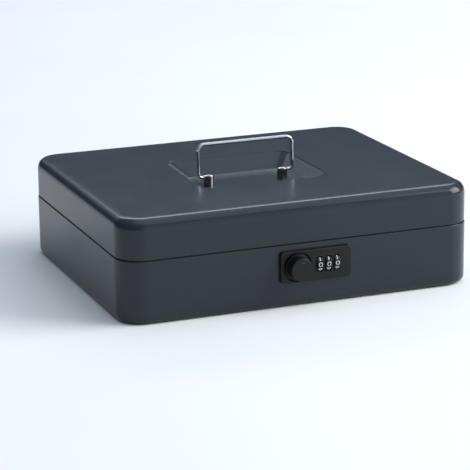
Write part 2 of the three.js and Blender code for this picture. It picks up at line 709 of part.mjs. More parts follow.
function coinTray() {
  // The bays' floors stand higher than the cups', so the underside steps up behind the cups.
  const step = { w: 310, d: 170, front: -44 };
  const stepShape = roundedShape(step.w, step.d, 1, 0, step.front + step.d / 2);
  const notchX = TRAY.halfX - TRAY.wall - 1; // finger notches in the end walls
  return cut(
    trayBlank(),
    ...compartments(CUPS.count).map(cupTool),
    ...compartments(BAYS.count).map(bayTool),
    plateXY(stepShape, TRAY.bottom - 4, BAYS.under, { curveSegments: 1 }),
    rodX(13, 36, 52, -160, -notchX),
    rodX(13, 36, 52, notchX, 160),
  );
}
piece(group(cashBox, "coin_tray_group"), "coin_tray", coinTray(), trayBlack);

export default cashBox;
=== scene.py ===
"""Cash box: finished meshes, materials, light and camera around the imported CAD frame.

The box stands on z = 0, centred on the Z axis. The lock is at the front (-Y), the hinges
are at the back (+Y), and left is -X. Meshes are drawn in millimetres and stored in metres.
"""

import math

import bmesh
import bpy
from mathutils import Matrix, Vector


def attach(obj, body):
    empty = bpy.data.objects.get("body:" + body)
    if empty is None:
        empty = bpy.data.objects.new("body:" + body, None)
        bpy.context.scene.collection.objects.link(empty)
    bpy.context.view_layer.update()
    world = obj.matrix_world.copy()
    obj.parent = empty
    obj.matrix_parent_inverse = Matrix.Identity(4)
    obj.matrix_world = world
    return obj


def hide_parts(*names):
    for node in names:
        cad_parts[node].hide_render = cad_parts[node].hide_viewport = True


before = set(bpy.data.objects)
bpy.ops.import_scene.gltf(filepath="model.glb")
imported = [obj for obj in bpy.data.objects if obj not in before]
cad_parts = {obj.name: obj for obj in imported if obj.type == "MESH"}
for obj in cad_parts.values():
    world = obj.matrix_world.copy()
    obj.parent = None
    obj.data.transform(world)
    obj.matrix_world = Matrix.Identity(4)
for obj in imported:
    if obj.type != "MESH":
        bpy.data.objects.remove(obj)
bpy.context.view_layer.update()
MM = 0.001
PI = math.pi
SIDES = ((-1, "left"), (1, "right"))

# ---------------------------------------------------------------- shared dimensions, in mm
BOX_W, BOX_D, BOX_H = 305.0, 250.0, 85.0
SHEET = 1.0
CORNER_R, TOP_R, BOTTOM_R = 22.5, 9.0, 5.5
SHOULDER_Z, LID_EDGE_Z = 51.8, 52.6
LID_INSET, LIP_INSET, LIP_TOP_Z = 0.4, 2.0, 58.0
DISH_FLOOR_Z = 74.0
POST_X, PIVOT_Z = 33.5, 81.1
WIRE_R = 1.5
SKIN_GAP = 0.05  # clearance between touching parts

LOCK_X, LOCK_Y, LOCK_Z = 9.4, -BOX_D / 2, 33.9  # lock centre, on the front wall
# Places below are measured from the lock centre.
OPENING_X0, OPENING_X1, OPENING_HALF_H = -23.6, 24.4, 9.9
CLAMP_SCREWS = (("left", -27.0), ("right", 27.1))  # side, x
COVER_SCREW_X, COVER_SCREWS = -6.9, (("upper", 5.9), ("lower", -5.9))  # x; side, z
KNOB_X = -16.2
DIAL_MID_X, DIAL_PITCH = 10.6, 7.4
DIAL_X = [DIAL_MID_X + k * DIAL_PITCH for k in (-1, 0, 1)]
DIAL_Y, DIAL_R = 2.3, 7.5
BEZEL_T = 3.5


# ---------------------------------------------------------------- outlines and solids
def sweep(start, end, steps):
    """Evenly spaced angles in radians, from start to end degrees inclusive."""
    return [math.radians(start + (end - start) * i / steps) for i in range(steps + 1)]


def arc(cx, cy, radius, angles):
    return [(cx + radius * math.cos(a), cy + radius * math.sin(a)) for a in angles]


def circle(radius, cx=0.0, cy=0.0, sides=48):
    return arc(cx, cy, radius, [2 * PI * i / sides for i in range(sides)])


def rounded(width, height, radius, cx=0.0, cy=0.0, n=6):
    """Rounded rectangle outline, counter-clockwise, with n segments per corner."""
    points = []
    for quarter, (sx, sy) in enumerate(((1, 1), (-1, 1), (-1, -1), (1, -1))):
        x, y = cx + sx * (width / 2 - radius), cy + sy * (height / 2 - radius)
        points += arc(x, y, radius, [(quarter + i / n) * PI / 2 for i in range(n + 1)])
    return points


def loft(rings, loop=False):
    """Skins a row of rings. A one-point ring is a tip; a loop joins the last to the first."""
    mesh = bmesh.new()
    rows = [[mesh.verts.new(point) for point in ring] for ring in rings]
    following = rows[1:] + rows[:1] if loop else rows[1:]
    for a, b in zip(rows, following):
        count = max(len(a), len(b))
        for i in range(count):
            j = (i + 1) % count
            corners = (a[i % len(a)], a[j % len(a)], b[j % len(b)], b[i % len(b)])
            mesh.faces.new(list(dict.fromkeys(corners)))
    if not loop:
        for end in (rows[0], rows[-1]):
            if len(end) > 1:
                mesh.faces.new(end)
    bmesh.ops.remove_doubles(mesh, verts=mesh.verts, dist=1e-4)
    bmesh.ops.recalc_face_normals(mesh, faces=mesh.faces)
    return mesh


def revolve(profile, sides, loop=False):
    """Turned part about +Z from (radius, height) pairs."""
    rings = []
    for radius, h in profile:
        flat = [(0, 0)] if radius < 1e-6 else circle(radius, sides=sides)
        rings.append([(x, y, h) for x, y in flat])
    return loft(rings, loop)


def prism(points, lo, hi, plane="XY"):
    """Outline drawn in a plane, made solid along the third axis."""
    place = {
        "XY": lambda a, b, c: (a, b, c),
        "XZ": lambda a, b, c: (a, c, b),
        "YZ": lambda a, b, c: (c, a, b),
    }[plane]
    return loft([[place(a, b, c) for a, b in points] for c in (lo, hi)])


def box(x0, x1, y0, y1, z0, z1):
    return prism([(x0, y0), (x1, y0), (x1, y1), (x0, y1)], z0, z1)


def cyl_x(radius, y, z, x0, x1):
    return prism(circle(radius, y, z), x0, x1, "YZ")


def cyl_y(radius, x, z, y0, y1, sides=48):
    return prism(circle(radius, x, z, sides), y0, y1, "XZ")


def cyl_z(radius, x, y, z0, z1):
    return prism(circle(radius, x, y), z0, z1)


TO_X = Matrix(((0, 0, 1), (1, 0, 0), (0, 1, 0))).to_4x4()  # +Z becomes +X
TO_FRONT = Matrix(((1, 0, 0), (0, 0, -1), (0, 1, 0))).to_4x4()  # +Z becomes -Y
TO_BACK = Matrix(((1, 0, 0), (0, 0, 1), (0, -1, 0))).to_4x4()  # +Z becomes +Y


def turn(mesh, matrix):
    mesh.transform(matrix)
    return mesh


def move(mesh, x=0.0, y=0.0, z=0.0):
    return turn(mesh, Matrix.Translation((x, y, z)))


def new_object(name, mesh):
    """Stores a bmesh in a new object and frees it."""
    data = bpy.data.meshes.new(name)
    mesh.to_mesh(data)
    mesh.free()
    obj = bpy.data.objects.new(name, data)
    bpy.context.scene.collection.objects.link(obj)
    return obj


def boolean(mesh, tools, operation="DIFFERENCE"):
    base = new_object("tmp", mesh)
    cutters = [new_object("tmp", tool) for tool in tools]
    for cutter in cutters:
        mod = base.modifiers.new("b", "BOOLEAN")
        mod.operation, mod.solver, mod.object = operation, "EXACT", cutter
    depsgraph = bpy.context.evaluated_depsgraph_get()
    result = bpy.data.meshes.new_from_object(base.evaluated_get(depsgraph), depsgraph=depsgraph)
    out = bmesh.new()
    out.from_mesh(result)
    for obj in [base] + cutters:
        data = obj.data
        bpy.data.objects.remove(obj)
        bpy.data.meshes.remove(data)
    bpy.data.meshes.remove(result)
    bmesh.ops.remove_doubles(out, verts=out.verts, dist=2e-4)
    flat = math.radians(0.2)
    bmesh.ops.dissolve_limit(out, angle_limit=flat, verts=out.verts, edges=out.edges)
    bmesh.ops.dissolve_degenerate(out, dist=1e-4, edges=out.edges)
    return out


def union(first, *others):
    return boolean(first, others, "UNION")


def outward(mesh):
    """Turns every closed shell of the mesh to face out, judged by its signed volume."""
    bmesh.ops.recalc_face_normals(mesh, faces=mesh.faces)
    for face in mesh.faces:
        face.tag = False
    for first in list(mesh.faces):
        if first.tag:
            continue
        first.tag = True
        stack, shell, volume = [first], [], 0.0
        while stack:
            face = stack.pop()
            shell.append(face)
            p = [vert.co for vert in face.verts]
            volume += sum(p[0].dot(p[i].cross(p[i + 1])) for i in range(1, len(p) - 1))
            for edge in face.edges:
                for neighbour in edge.link_faces:
                    if not neighbour.tag:
                        neighbour.tag = True
                        stack.append(neighbour)
        if volume < 0:
            bmesh.ops.reverse_faces(mesh, faces=shell)


def emit(name, mesh, finish, body, part=None, bevel=0.0, segments=2, angle=30.0):
    """Turns a bmesh in millimetres into a finished piece on a CAD body.

    finish names a material, which is also its slot. part is the CAD piece it replaces.
    """
    bmesh.ops.dissolve_degenerate(mesh, dist=0.002, edges=mesh.edges)
    outward(mesh)
    mesh.transform(Matrix.Scale(MM, 4))
    obj = new_object(name, mesh)
    data = obj.data
    data.materials.append(MATERIALS[finish])
    data.polygons.foreach_set("use_smooth", [True] * len(data.polygons))
    if bevel:
        mod = obj.modifiers.new("edges", "BEVEL")
        mod.width, mod.segments = bevel * MM, segments
        mod.limit_method, mod.angle_limit = "ANGLE", math.radians(angle)
        mod.miter_outer = "MITER_ARC"
    else:
        data.set_sharp_from_angle(angle=math.radians(angle + 5))
    mod = obj.modifiers.new("normals", "WEIGHTED_NORMAL")
    mod.keep_sharp, mod.weight = True, 60
    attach(obj, body)
    if part:
        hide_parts(part)


# ---------------------------------------------------------------- materials
MATERIALS = {}


class Shader:
    """Builds one material. Texture scales are per metre."""

    SOCKETS = {
        "color": "Base Color",
        "rough": "Roughness",
        "metal": "Metallic",
        "normal": "Normal",
        "spec": "Specular IOR Level",
    }

    def __init__(self, name):
        self.mat = MATERIALS[name] = bpy.data.materials.new(name)
        self.mat.use_nodes = True
        self.tree = self.mat.node_tree
        self.coord = self.add("TexCoord", {}).outputs["Object"]

    def feed(self, socket, value):
        """Links an output to the socket, or sets a colour or plain value on it."""
        if isinstance(value, bpy.types.NodeSocket):
            self.tree.links.new(value, socket)
        elif socket.type == "RGBA":
            socket.default_value = (*value, 1.0)
        else:
            socket.default_value = value

    def add(self, kind, inputs, **settings):
        node = self.tree.nodes.new("ShaderNode" + kind)
        for key, value in settings.items():
            setattr(node, key, value)
        for key, value in inputs.items():
            self.feed(node.inputs[key], value)
        return node

    def stretch(self, scale):
        return self.add("Mapping", {"Scale": scale, "Vector": self.coord}).outputs["Vector"]

    def noise(self, scale, detail=3.0, rough=0.5, vector=None, low=0.35, high=0.65):
        """Noise spread so that its values from low to high run from 0 to 1."""
        inputs = {"Scale": scale, "Detail": detail, "Roughness": rough}
        noise = self.add("TexNoise", inputs | {"Vector": vector or self.coord})
        inputs = {"From Min": low, "From Max": high, "Value": noise.outputs["Fac"]}
        return self.add("MapRange", inputs).outputs["Result"]

    def ramp(self, factor, start, end):
        inputs = {"To Min": start, "To Max": end, "Value": factor}
        return self.add("MapRange", inputs).outputs["Result"]

    def mix(self, factor, a, b):
        # Inputs 6 and 7 and output 2 are the colour sockets.
        return self.add("Mix", {"Factor": factor, 6: a, 7: b}, data_type="RGBA").outputs[2]

    def math(self, operation, a, b, clamp=False):
        return self.add("Math", {0: a, 1: b}, operation=operation, use_clamp=clamp).outputs[0]

    def edge(self, radius_mm, gain):
        """About 1 along outside edges and 0 on faces."""
        bevel = self.add("Bevel", {"Radius": radius_mm * MM}, samples=4).outputs["Normal"]
        normal = self.add("NewGeometry", {}).outputs["Normal"]
        dot = self.add("VectorMath", {0: bevel, 1: normal}, operation="DOT_PRODUCT")
        bent = self.math("SUBTRACT", 1.0, dot.outputs["Value"])
        return self.math("MULTIPLY", bent, gain, clamp=True)

    def bump(self, height, distance_mm, normal=None):
        inputs = {"Strength": 1.0, "Distance": distance_mm * MM, "Height": height}
        if normal:
            inputs["Normal"] = normal
        return self.add("Bump", inputs).outputs["Normal"]

    def finish(self, **inputs):
        bsdf = self.tree.nodes["Principled BSDF"]
        for key, value in inputs.items():
            self.feed(bsdf.inputs[self.SOCKETS[key]], value)


def body_paint():
    """Powder coat: cloudy tone, light grain, edges lighter in patches (partly wear, partly a
    painted highlight) and a faint orange peel.
    """
    s = Shader("body_paint")
    dark, light = (0.0146, 0.0192, 0.0260), (0.0168, 0.0218, 0.0292)
    cloud = s.noise(scale=9.0)
    grain = s.noise(scale=1500.0, detail=2.0, rough=0.6)
    tone = s.mix(cloud, dark, light)
    tone = s.mix(s.ramp(grain, start=0.0, end=0.22), tone, tuple(c * 1.9 for c in light))
    # Paler tone along outside edges, broken into patches: partly wear, partly a painted highlight.
    edge = s.edge(radius_mm=0.5, gain=1.6)
    patches = s.noise(scale=160.0, detail=4.0, rough=0.7, low=0.45, high=0.7)
    edge_wear_and_highlight = s.math("MULTIPLY", edge, s.ramp(patches, start=0.1, end=0.7))
    tone = s.mix(edge_wear_and_highlight, tone, (0.038, 0.046, 0.058))
    sheen = s.ramp(s.noise(scale=35.0, detail=4.0), start=0.185, end=0.215)
    rough = s.math("ADD", sheen, s.ramp(grain, start=0.0, end=0.03))
    peel = s.bump(s.noise(scale=420.0, detail=2.0, rough=0.4), distance_mm=0.012)
    fine_grain = s.noise(scale=1900.0, detail=2.0, rough=0.6)
    fine = s.bump(fine_grain, distance_mm=0.006, normal=peel)
    s.finish(color=tone, rough=rough, normal=fine, spec=0.34)


def metal(name, tones, rough, patch_scale=60.0, grain_mm=0.0, stretch=None):
    """Patchy bare or plated metal. stretch draws the fine grain out into streaks."""
    s = Shader(name)
    tone = s.mix(s.noise(scale=patch_scale, detail=4.0), *tones)
    vector = s.stretch(stretch) if stretch else None
    streak = s.noise(scale=1200.0, rough=0.6, vector=vector)
    low, high = rough
    patchy = s.ramp(s.noise(scale=patch_scale * 1.7, detail=5.0), low, high)
    streaky = s.ramp(streak, start=0.0, end=(high - low) * 0.6)
    s.finish(color=tone, rough=s.math("ADD", patchy, streaky), metal=1.0)
    if grain_mm:
        s.finish(normal=s.bump(streak, grain_mm))


def moulded(name, tones, edge_highlight_tone, rough, grain_scale, grain_mm):
    """Moulded plastic with a fine grain and a painted highlight along its edges."""
    s = Shader(name)
    tone = s.mix(s.noise(scale=40.0, detail=4.0), *tones)
    # Paler tone along the edges: a painted highlight.
    tone = s.mix(s.edge(radius_mm=0.35, gain=1.2), tone, edge_highlight_tone)
    grain = s.noise(scale=grain_scale, rough=0.65)
    patchy = s.ramp(s.noise(scale=90.0, detail=4.0), *rough)
    rough = s.math("ADD", patchy, s.ramp(grain, start=0.0, end=0.05))
    s.finish(color=tone, rough=rough, normal=s.bump(grain, grain_mm), spec=0.27)


def figure_paint():
    s = Shader("figure_paint")
    tone = s.mix(s.noise(scale=2500.0), (0.90, 0.90, 0.89), (0.80, 0.80, 0.79))
    rough = s.ramp(s.noise(scale=1500.0, detail=2.0), start=0.35, end=0.5)
    normal = s.bump(s.noise(scale=4000.0, detail=2.0), distance_mm=0.004)
    s.finish(color=tone, rough=rough, normal=normal)


body_paint()
metal(
    "chrome", tones=((0.66, 0.67, 0.69), (0.60, 0.61, 0.63)),
    rough=(0.03, 0.07), patch_scale=220.0,
)
metal(
    "post_nickel", tones=((0.33, 0.315, 0.31), (0.27, 0.26, 0.26)),
    rough=(0.05, 0.09), patch_scale=300.0, grain_mm=0.001, stretch=(0.2, 0.2, 4.0),
)
metal(
    "zinc_steel", tones=((0.56, 0.57, 0.58), (0.46, 0.475, 0.48)),
    rough=(0.27, 0.40), grain_mm=0.003, stretch=(0.15, 1.0, 1.0),
)
metal(
    "spring_steel", tones=((0.42, 0.42, 0.43), (0.34, 0.34, 0.36)),
    rough=(0.22, 0.34), grain_mm=0.002, stretch=(1.0, 1.0, 0.1),
)
metal(
    "code_brass", tones=((0.78, 0.57, 0.26), (0.66, 0.46, 0.19)),
    rough=(0.22, 0.34), patch_scale=200.0, grain_mm=0.002, stretch=(4.0, 0.2, 0.2),
)
moulded(
    "lock_plastic", tones=((0.0052, 0.0055, 0.0057), (0.0070, 0.0073, 0.0075)),
    edge_highlight_tone=(0.028, 0.029, 0.030), rough=(0.36, 0.44), grain_scale=2600.0, grain_mm=0.010,
)
moulded(
    "dial_plastic", tones=((0.0050, 0.0050, 0.0052), (0.0075, 0.0075, 0.0078)),
    edge_highlight_tone=(0.020, 0.020, 0.020), rough=(0.27, 0.34), grain_scale=3200.0, grain_mm=0.004,
)
moulded(
    "mark_paint", tones=((0.034, 0.034, 0.035), (0.028, 0.028, 0.029)),
    edge_highlight_tone=(0.045, 0.045, 0.046), rough=(0.40, 0.48), grain_scale=2600.0, grain_mm=0.006,
)
moulded(
    "tray_plastic", tones=((0.0110, 0.0122, 0.0140), (0.0150, 0.0165, 0.0190)),
    edge_highlight_tone=(0.032, 0.035, 0.040), rough=(0.44, 0.54), grain_scale=1800.0, grain_mm=0.012,
)
figure_paint()

# ---------------------------------------------------------------- sheet shells
FLAT = 0.8  # distance from the end of a bend to its supporting ring


def ring(half_x, half_y, radius, z, n=14):
    return [(x, y, z) for x, y in rounded(2 * half_x, 2 * half_y, radius, n=n)]


def outline(inset, z):
    """Ring of the box's plan, drawn in by inset from its widest."""
    return ring(BOX_W / 2 - inset, BOX_D / 2 - inset, CORNER_R - inset, z)


def bend(inset, z, across, rise, angles):
    """(inset, z) stations round a bend that starts upright at inset and z."""
    return [(inset + across * (1 - math.cos(a)), z + rise * math.sin(a)) for a in angles]


# Handle dish in the lid: half width, half depth and corner radius.
DISH_TOP, DISH_FLOOR = (57.0, 50.5, 12.0), (43.5, 32.0, 9.0)
RIM_DROP, RIM_RUN = 0.055, 0.014  # steep start of its wall: share of its depth, and of its run
FLOOR_RUN = 0.008  # share of the run that softens into the floor
# Top edge of the lid: width of the bend, then width and radius of the slow lead-in.
BEND, LEAD, LEAD_R = 6.2, 4.8, 30.0


def dish(t, drop=0.0, grow=0.0):
    """Ring of the handle dish: t = 0 at its rim, 1 at its floor."""
    if t <= -RIM_RUN:
        depth = 0.0
    elif t <= RIM_RUN:
        depth = RIM_DROP * (0.5 + 0.5 * math.sin(PI / 2 * t / RIM_RUN))
    elif t <= 1 - FLOOR_RUN:
        depth = RIM_DROP + (1 - RIM_DROP) * t
    elif t < 1 + FLOOR_RUN:
        depth = 1 - (1 - RIM_DROP) * (1 + FLOOR_RUN - t) ** 2 / (4 * FLOOR_RUN)
    else:
        depth = 1.0
    half_x, half_y, radius = (a + (b - a) * t for a, b in zip(DISH_TOP, DISH_FLOOR))
    z = BOX_H - (BOX_H - DISH_FLOOR_Z) * depth - drop
    return ring(half_x + grow, half_y + grow, radius + grow, z)


def lid_shoulder():
    """Stations of the lid's top edge: slow lead-in from the flat top, then bend to the wall."""
    lead_end = math.asin(LEAD / LEAD_R)
    bend_z = (TOP_R - LEAD_R * (1 - math.cos(lead_end))) / math.cos(lead_end)
    bend_x = BEND / (1 - math.sin(lead_end))
    out = []
    for i in range(7):
        a = lead_end * i / 6
        inset = LID_INSET + BEND + LEAD - LEAD_R * math.sin(a)
        out.append((inset, BOX_H - LEAD_R * (1 - math.cos(a))))
    for i in range(1, 15):
        a = lead_end + (PI / 2 - lead_end) * i / 14
        inset = LID_INSET + bend_x * (1 - math.sin(a))
        out.append((inset, BOX_H - TOP_R + bend_z * math.cos(a)))
    return out


def lid_shell():
    steps = [-RIM_RUN * 2.2] + [-RIM_RUN + 2 * RIM_RUN * i / 6 for i in range(7)]
    steps += [0.04, 0.2, 0.4, 0.6, 0.75]
    steps += [1 - FLOOR_RUN + 2 * FLOOR_RUN * i / 8 for i in range(9)] + [1 + FLOOR_RUN * 1.5]
    hem_r = 0.3
    hem_z, top_z = LID_EDGE_Z + hem_r, BOX_H - TOP_R
    inner, inner_r = LID_INSET + SHEET, TOP_R - SHEET
    # From the top round the hem and back up inside.
    section = [(LID_INSET + BEND + LEAD + FLAT, BOX_H)] + lid_shoulder()
    section += [(LID_INSET, top_z - FLAT), (LID_INSET, hem_z + 0.5)]
    section += bend(LID_INSET, hem_z, hem_r, -hem_r, sweep(0, 90, 3))
    section += bend(inner, hem_z, -hem_r, -hem_r, sweep(90, 0, 3))
    section.append((inner, top_z - FLAT))
    section += bend(inner, top_z, inner_r, inner_r, sweep(0, 90, 12))
    section.append((inner + inner_r + FLAT, BOX_H - SHEET))
    rings = [dish(t) for t in reversed(steps)]
    rings += [outline(*station) for station in section]
    rings += [dish(t, drop=SHEET, grow=0.35) for t in steps]
    holes = [cyl_z(2.3, s * POST_X, 0, DISH_FLOOR_Z - 3, DISH_FLOOR_Z + 2) for s, _ in SIDES]
    shell = boolean(loft(rings), holes)
    emit("lid_body", shell, "body_paint", "lid", "lid_shell", angle=32)


def base_shell():
    inner_r, shoulder_r, lip_r = BOTTOM_R - SHEET, 0.7, 0.25
    lip_inner, under_shoulder = LIP_INSET + SHEET, SHOULDER_Z - SHEET
    # From the underside up the outside, over the lip and back down inside.
    section = [(BOTTOM_R + FLAT, 0)]
    section += bend(0, BOTTOM_R, BOTTOM_R, -BOTTOM_R, sweep(90, 0, 9))
    section += [(0, BOTTOM_R + FLAT), (0, SHOULDER_Z - shoulder_r - 0.6)]
    section += bend(0, SHOULDER_Z - shoulder_r, shoulder_r, shoulder_r, sweep(0, 90, 5))
    section += [
        (LIP_INSET, SHOULDER_Z),
        (LIP_INSET, LIP_TOP_Z - lip_r),
        (LIP_INSET + lip_r, LIP_TOP_Z),
        (lip_inner - lip_r, LIP_TOP_Z),
        (lip_inner, LIP_TOP_Z - lip_r),
        (lip_inner, under_shoulder),
        (SHEET + 0.4, under_shoulder),
        (SHEET, under_shoulder - 0.5),
        (SHEET, BOTTOM_R + FLAT),
    ]
    section += bend(SHEET, BOTTOM_R, inner_r, -inner_r, sweep(0, 90, 9))
    section.append((BOTTOM_R + FLAT, SHEET))
    y0, y1 = LOCK_Y - 2, LOCK_Y + 2
    x0, x1 = LOCK_X + OPENING_X0, LOCK_X + OPENING_X1
    cuts = [box(x0, x1, y0, y1, LOCK_Z - OPENING_HALF_H, LOCK_Z + OPENING_HALF_H)]
    cuts += [cyl_y(1.8, LOCK_X + x, LOCK_Z, y0, y1) for _, x in CLAMP_SCREWS]
    shell = boolean(loft([outline(*station) for station in section]), cuts)
    emit("base_body", shell, "body_paint", "base", "base_shell", angle=32)


def ledges():
    """Folded angles on the side walls that carry the tray."""
    wall = BOX_W / 2 - SHEET - SKIN_GAP
    top_z, leg, shelf = 47.5, 11.5, 8.0
    outer_r, inner_r = 2.0, 1.0
    thick = outer_r - inner_r
    weld_z = 41.0
    for s, side in SIDES:
        # Down the wall, then inwards at the top, with a bend.
        section = [(0, -leg), (0, -outer_r)] + arc(-outer_r, -outer_r, outer_r, sweep(0, 90, 6)[1:])
        section += [(-shelf, 0), (-shelf, -thick), (-outer_r, -thick)]
        section += arc(-outer_r, -outer_r, inner_r, sweep(90, 0, 6)[1:]) + [(-thick, -leg)]
        mesh = prism([(-(wall + a), top_z + b) for a, b in section], -90, 100, "XZ")
        welds = []  # spot-weld dimples on the leg
        for y in (-80, -38, 5, 48, 90):
            weld = turn(revolve([(0, -0.9), (1.6, -0.9), (2.1, 0.45), (0, 0.45)], 24), TO_X)
            welds.append(move(weld, 1.7 - wall, y, weld_z))
        mesh = boolean(mesh, welds)
        if s > 0:
            mesh.transform(Matrix.Scale(-1, 4, (1, 0, 0)))
        name = f"tray_ledge_{side}"
        emit(f"{name}_angle", mesh, "body_paint", "base", name, bevel=0.18)


# ---------------------------------------------------------------- hinges
HINGE_X, HINGE_Y, HINGE_Z = 85.0, 127.7, 52.2
HINGE_LEN, LEAF_H, LEAF_T, LEAF_R = 50.0, 12.7, 1.2, 2.5
KNUCKLE_R, KNUCKLE_LEN, PIN_R = 2.6, 12.0, 1.2


def knuckle(leaf_y, far_z, up, x0, x1):
    """Strip of leaf from far_z that curls round the pin; up is the side the leaf leaves on."""
    # The curl starts where the knuckle meets the leaf's outer plane.
    start = math.acos((leaf_y + LEAF_T - HINGE_Y) / KNUCKLE_R)
    section = [(leaf_y + LEAF_T, far_z)]
    for i in range(41):
        a = start + (-PI - start) * i / 40
        y = HINGE_Y + KNUCKLE_R * math.cos(a)
        section.append((y, HINGE_Z + up * KNUCKLE_R * math.sin(a)))
    section.append((leaf_y, far_z))
    return prism(section, x0, x1, "YZ")


def hinge_leaf(body, side, x, leaf_y, mid_z, far_z, dimple_z, up, knuckles):
    x0, x1 = x - HINGE_LEN / 2, x + HINGE_LEN / 2
    plate = rounded(HINGE_LEN, LEAF_H, LEAF_R, x, mid_z)
    parts = [prism(plate, leaf_y, leaf_y + LEAF_T, "XZ")]
    parts += [knuckle(leaf_y, far_z, up, x0 + a, x0 + b) for a, b in knuckles]
    tools = [cyl_x(PIN_R + 0.09, HINGE_Y, HINGE_Z, x0 - 1, x1 + 1)]
    for dimple_x in (x0 + 8, x, x1 - 8):
        dimple = turn(revolve([(0, -1), (1.7, -1), (2.2, 0.3), (0, 0.3)], 24), TO_FRONT)
        tools.append(move(dimple, dimple_x, leaf_y + LEAF_T, dimple_z))
    mesh = boolean(union(*parts), tools)
    part = f"hinge_{body}_leaf_{side}"
    emit(f"hinge_{body}_{side}", mesh, "body_paint", body, part, bevel=0.15, angle=40)


def hinge(x, side):
    wall = BOX_D / 2 + SKIN_GAP
    gap = KNUCKLE_LEN + 0.4
    ends = ((0, KNUCKLE_LEN), (HINGE_LEN - KNUCKLE_LEN, HINGE_LEN))
    middle = ((gap, HINGE_LEN - gap),)
    hinge_leaf(
        "base", side, x, leaf_y=wall, mid_z=42.85,
        far_z=44.0, dimple_z=40.6, up=-1, knuckles=ends,
    )
    hinge_leaf(
        "lid", side, x, leaf_y=wall - LID_INSET, mid_z=61.65,
        far_z=60.0, dimple_z=63.4, up=1, knuckles=middle,
    )
    half = HINGE_LEN / 2
    end = [(PIN_R, half + 0.1), (1.9, half + 0.1), (1.9, half + 0.3), (1.2, half + 0.6)]
    end.append((0, half + 0.6))
    pin = revolve([(r, -h) for r, h in reversed(end)] + end, 40)
    name = f"hinge_pin_{side}"
    pin = move(turn(pin, TO_X), x, HINGE_Y, HINGE_Z)
    emit(f"{name}_shaft", pin, "zinc_steel", "base", name, bevel=0.08, segments=1)


# ---------------------------------------------------------------- handle, posts, catch
def handle():
    """Bent wire handle, swept along its centre line."""
    leg_x, end_x, rise = 42.5, 31.2, 28.4
    low_r, high_r = 3.6, 5.5  # bends at the pivot and at the grip
    # Left half as x, z and the direction along x and z, from the pivot end to the grip.
    path = [(x, 0.0, -1.0, 0.0) for x in (-end_x, -leg_x + low_r + 1.2, -leg_x + low_r)]
    for a in sweep(0, 90, 12)[1:]:
        c, s = math.cos(a), math.sin(a)
        path.append((-leg_x + low_r - low_r * s, low_r - low_r * c, -c, s))
    path += [(-leg_x, z, 0.0, 1.0) for z in (low_r + 1.0, rise - high_r - 1.0, rise - high_r)]
    for a in sweep(0, 90, 12)[1:]:
        c, s = math.cos(a), math.sin(a)
        path.append((-leg_x + high_r - high_r * c, rise - high_r + high_r * s, s, c))
    path.append((-leg_x + high_r + 1.5, rise, 1.0, 0.0))
    path += [(-x, z, along_x, -along_z) for x, z, along_x, along_z in reversed(path)]
    section = circle(WIRE_R, sides=32)
    rings = []
    for x, z, along_x, along_z in path:
        rings.append([(x - along_z * v, u, z + PIVOT_Z + along_x * v) for u, v in section])
    emit("handle_wire", loft(rings), "chrome", "handle", "carry_handle", angle=40)


def cross_screw(head_r, head_h, shank_r, shank_l):
    """Pan-head screw along +Z, head up, with a cross recess."""
    dome_h = head_h * 0.55
    rim_h = head_h - dome_h
    profile = [(0, -shank_l), (shank_r * 0.7, -shank_l), (shank_r, -shank_l + 0.4)]
    profile += [(shank_r, 0), (head_r - 0.1, 0), (head_r, 0.15), (head_r, rim_h)]
    for a in sweep(0, 90, 6)[1:]:
        profile.append((head_r * math.cos(a) * 0.999, rim_h + dome_h * math.sin(a)))
    half, depth, half_slot = head_r * 0.62, head_h * 0.55, head_r * 0.11
    side = [(half * 0.3, head_h - depth), (half * 0.9, head_h - depth * 0.4), (half, head_h + 0.5)]
    slot = [(-x, z) for x, z in reversed(side)] + side
    tools = []
    for angle in (0, PI / 2):
        tool = prism(slot, -half_slot, half_slot, "XZ")
        tools.append(turn(tool, Matrix.Rotation(angle, 4, "Z")))
    return boolean(revolve(profile, 40), tools)


def posts():
    """Handle posts on the dish floor, each with a washer and screw from below."""
    post_r, top_z, crown_r = 4.3, 83.3, 11.0
    foot_z = DISH_FLOOR_Z + SKIN_GAP
    under = DISH_FLOOR_Z - SHEET

    def crown(r):
        return top_z - crown_r + math.sqrt(crown_r**2 - r * r)

    edge = post_r - 0.4
    edge_z = crown(edge) - 0.36
    profile = [(0, foot_z), (post_r - 0.15, foot_z), (post_r, foot_z + 0.15), (post_r, edge_z)]
    for a in sweep(0, 90, 5)[1:-1]:
        profile.append((edge + 0.4 * math.cos(a), edge_z + 0.36 * math.sin(a)))
    profile += [(edge * k, crown(edge * k)) for k in (1.0, 0.8, 0.6, 0.4, 0.2, 0.0)]
    for s, side in SIDES:
        # The wire hole is blind towards the middle of the box; the screw well is below.
        hole = cyl_x(WIRE_R + 0.09, 0, PIVOT_Z, *sorted((-2.9 * s, 7.5 * s)))
        well = cyl_z(2.0, 0, 0, foot_z - 1, foot_z + 4.6)
        post = move(boolean(revolve(profile, 72), [hole, well]), s * POST_X)
        part = f"handle_post_{side}"
        emit(f"post_{side}", post, "post_nickel", "lid", part, bevel=0.1, angle=40)

        low, high = under - 1.1, under - 0.1
        washer = revolve([(2.15, low), (5.0, low), (5.0, high), (2.15, high)], 64, loop=True)
        name = f"post_washer_{side}"
        washer = move(washer, s * POST_X)
        emit(f"{name}_ring", washer, "zinc_steel", "lid", name, bevel=0.12)

        screw = turn(cross_screw(3.8, 2.2, 1.85, 6.4), Matrix.Rotation(PI, 4, "X"))
        name = f"post_screw_{side}"
        screw = move(screw, s * POST_X, 0, under - 1.2)
        emit(f"{name}_head", screw, "zinc_steel", "lid", name, bevel=0.06, segments=1, angle=45)


